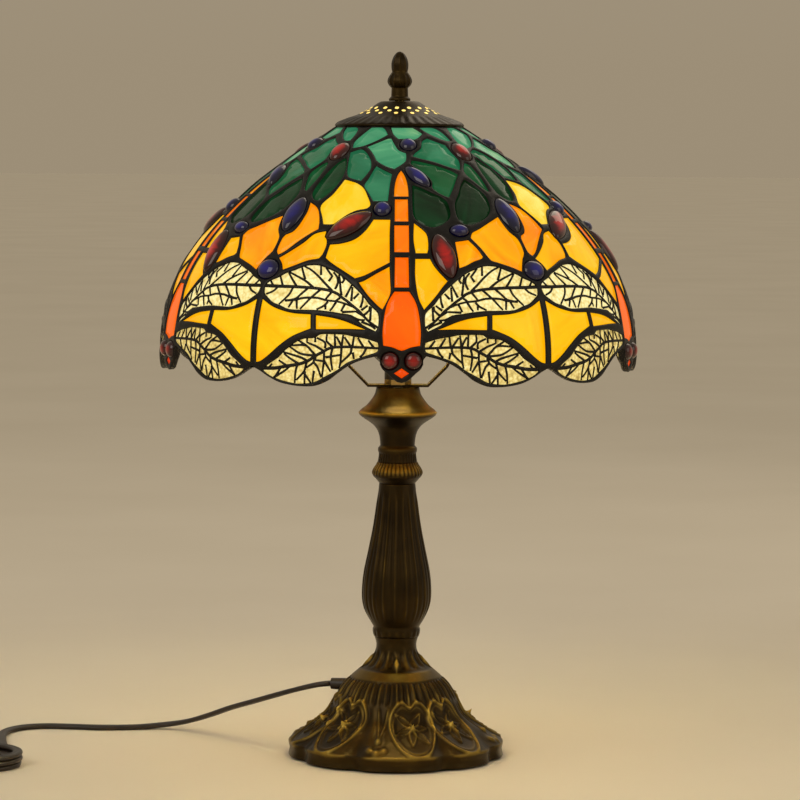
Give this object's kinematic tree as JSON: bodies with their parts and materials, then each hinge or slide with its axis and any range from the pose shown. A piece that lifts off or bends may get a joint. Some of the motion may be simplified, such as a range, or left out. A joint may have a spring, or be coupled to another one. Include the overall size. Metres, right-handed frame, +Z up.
{
  "type": "leaded glass dragonfly table lamp",
  "caption": "Table lamp with a domed leaded-glass dragonfly shade on a harp, a vented cap with finial, a fluted bronze column and a cast leaf-and-flower foot.",
  "frame": {"origin": "centre of the foot's underside, on the table", "axes": "+Z up the column to the finial, -Y the way that one of the five dragonflies faces"},
  "size_m": [0.5094, 0.3058, 0.4495],
  "materials": {
    "felt": "green-black pressed felt",
    "bronze": "antique bronze over a zinc casting, dark brown in the hollows and rubbed brassy on the high edges",
    "brass": "plain machined brass",
    "brass_dark": "darkened brass",
    "steel": "zinc plated",
    "copper_lead": "clear-gold insulated conductors",
    "harp_metal": "bronze lacquered strap",
    "socket_black": "black phenolic",
    "porcelain": "glazed porcelain",
    "bulb_nickel": "nickel screw cap",
    "bulb_glass": "lightly frosted, warm",
    "stem_glass": "clear stem",
    "filament": "warm white filaments, lit",
    "solder": "black patinated solder bead, satin",
    "light_green_glass": "streaky light green opalescent sheet",
    "deep_green_glass": "streaky deep green to teal opalescent sheet",
    "amber_glass": "wispy yellow to amber opalescent sheet",
    "orange_glass": "orange opalescent sheet",
    "clear_ripple_glass": "clear hammered sheet",
    "filigree": "black etched brass filigree",
    "ruby_glass": "polished ruby pressed jewel",
    "cobalt_glass": "polished cobalt pressed jewel",
    "eye_glass": "polished red cabochon",
    "black_plastic": "moulded",
    "cord": "dark brown moulded flat twin lead",
    "tie_wire": "black plastic tie",
    "brown_plastic": "dark brown moulded",
    "rocker_plastic": "black rocker"
  },
  "bodies": {
    "root": {"base_felt": "felt", "base_casting": "bronze", "pipe_nut": "brass", "pipe_washer": "steel", "threaded_pipe": "steel", "column_baluster": "bronze", "column_collar": "bronze", "socket_cup": "bronze", "lead_wires": "copper_lead", "harp": "harp_metal", "harp_lock_nut": "brass", "harp_stud": "brass", "shade_rest": "harp_metal", "socket_shell": "socket_black", "socket_insulator": "porcelain", "socket_screw_shell": "brass", "socket_contact": "brass", "cord_bushing": "black_plastic", "cord_run": "cord", "cord_hank": "cord", "cord_tie": "tie_wire", "cord_tail": "cord", "switch_bottom": "brown_plastic", "switch_top": "brown_plastic", "switch_screws": "steel", "plug_body": "brown_plastic", "plug_blades": "brass"},
    "bulb": {"bulb_base": "bulb_nickel", "bulb_tip": "brass", "bulb_glass": "bulb_glass", "bulb_stem": "stem_glass", "bulb_filaments": "filament"},
    "shade": {"shade_ring": "brass_dark", "shade_leading": "solder", "glass_crown": "light_green_glass", "glass_leaves": "deep_green_glass", "glass_amber": "amber_glass", "glass_dragonflies": "orange_glass", "glass_wings": "clear_ripple_glass", "wing_filigree": "filigree", "jewels_red": "ruby_glass", "jewels_blue": "cobalt_glass", "dragonfly_eyes": "eye_glass", "shade_cap": "bronze"},
    "finial": {"finial": "bronze"},
    "rocker": {"switch_rocker": "rocker_plastic"}
  },
  "joints": [
    {"name": "shade_turn", "type": "hinge", "parent": "root", "child": "shade", "pos_m": [0, 0, 0.4], "axis": [0, 0, 1], "continuous": true},
    {"name": "finial_turn", "type": "hinge", "parent": "root", "child": "finial", "pos_m": [0, 0, 0.43], "axis": [0, 0, 1], "continuous": true},
    {"name": "bulb_turn", "type": "hinge", "parent": "root", "child": "bulb", "pos_m": [0, 0, 0.28], "axis": [0, 0, 1], "continuous": true},
    {"name": "rocker_tilt", "type": "hinge", "parent": "root", "child": "rocker", "pos_m": [-0.346, 0.034, 0.013], "axis": [1, 0, 0], "range_deg": [0, 19]}
  ]
}
